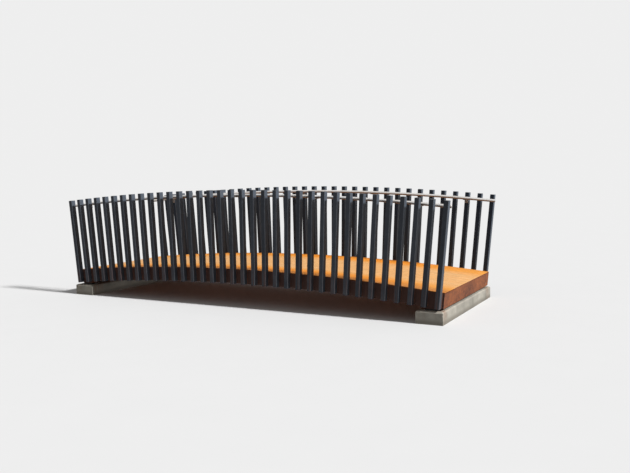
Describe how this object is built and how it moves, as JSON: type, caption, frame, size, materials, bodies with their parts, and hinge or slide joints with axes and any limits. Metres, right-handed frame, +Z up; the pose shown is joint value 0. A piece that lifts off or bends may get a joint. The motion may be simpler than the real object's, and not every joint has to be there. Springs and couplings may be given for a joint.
{
  "type": "weathering steel footbridge",
  "caption": "Arched pedestrian bridge: a curved steel deck on edge girders, between rows of upright posts with a curved handrail on each side, standing on concrete sills.",
  "frame": {"origin": "centre of the footprint at ground level, under the middle of the span", "axes": "+X along the bridge, +Y across it away from the picture's camera, +Z up"},
  "size_m": [6.359, 2.16, 1.6508],
  "materials": {
    "deck_steel": "weathering steel walked to a sandy orange rust, deeper along both edges",
    "weathering_steel": "weathering steel, dark maroon-brown rust patina",
    "dark_steel": "near-black coated steel, satin, weathered",
    "stainless_steel": "brushed stainless tube",
    "rubber": "plain bearing rubber",
    "concrete": "cast concrete with board marks and weather stains"
  },
  "bodies": {
    "root": {"cross_beam_1": "weathering_steel", "cross_beam_2": "weathering_steel", "cross_beam_3": "weathering_steel", "cross_beam_4": "weathering_steel", "cross_beam_5": "weathering_steel", "cross_beam_6": "weathering_steel", "cross_beam_7": "weathering_steel", "cross_beam_8": "weathering_steel", "cross_beam_9": "weathering_steel", "deck_plate": "deck_steel", "deck_ribs": "weathering_steel", "far_edge_girder": "weathering_steel", "far_handrail": "stainless_steel", "far_left_bearing_pad": "rubber", "far_left_sole_plate": "weathering_steel", "far_posts_1": "dark_steel", "far_posts_2": "dark_steel", "far_posts_3": "dark_steel", "far_posts_4": "dark_steel", "far_posts_5": "dark_steel", "far_posts_6": "dark_steel", "far_posts_7": "dark_steel", "far_rail_brackets": "stainless_steel", "far_right_bearing_pad": "rubber", "far_right_sole_plate": "weathering_steel", "left_end_plate": "weathering_steel", "left_sill": "concrete", "near_edge_girder": "weathering_steel", "near_handrail": "stainless_steel", "near_left_bearing_pad": "rubber", "near_left_sole_plate": "weathering_steel", "near_posts_1": "dark_steel", "near_posts_2": "dark_steel", "near_posts_3": "dark_steel", "near_posts_4": "dark_steel", "near_posts_5": "dark_steel", "near_posts_6": "dark_steel", "near_posts_7": "dark_steel", "near_rail_brackets": "stainless_steel", "near_right_bearing_pad": "rubber", "near_right_sole_plate": "weathering_steel", "right_end_plate": "weathering_steel", "right_sill": "concrete"}
  },
  "joints": []
}
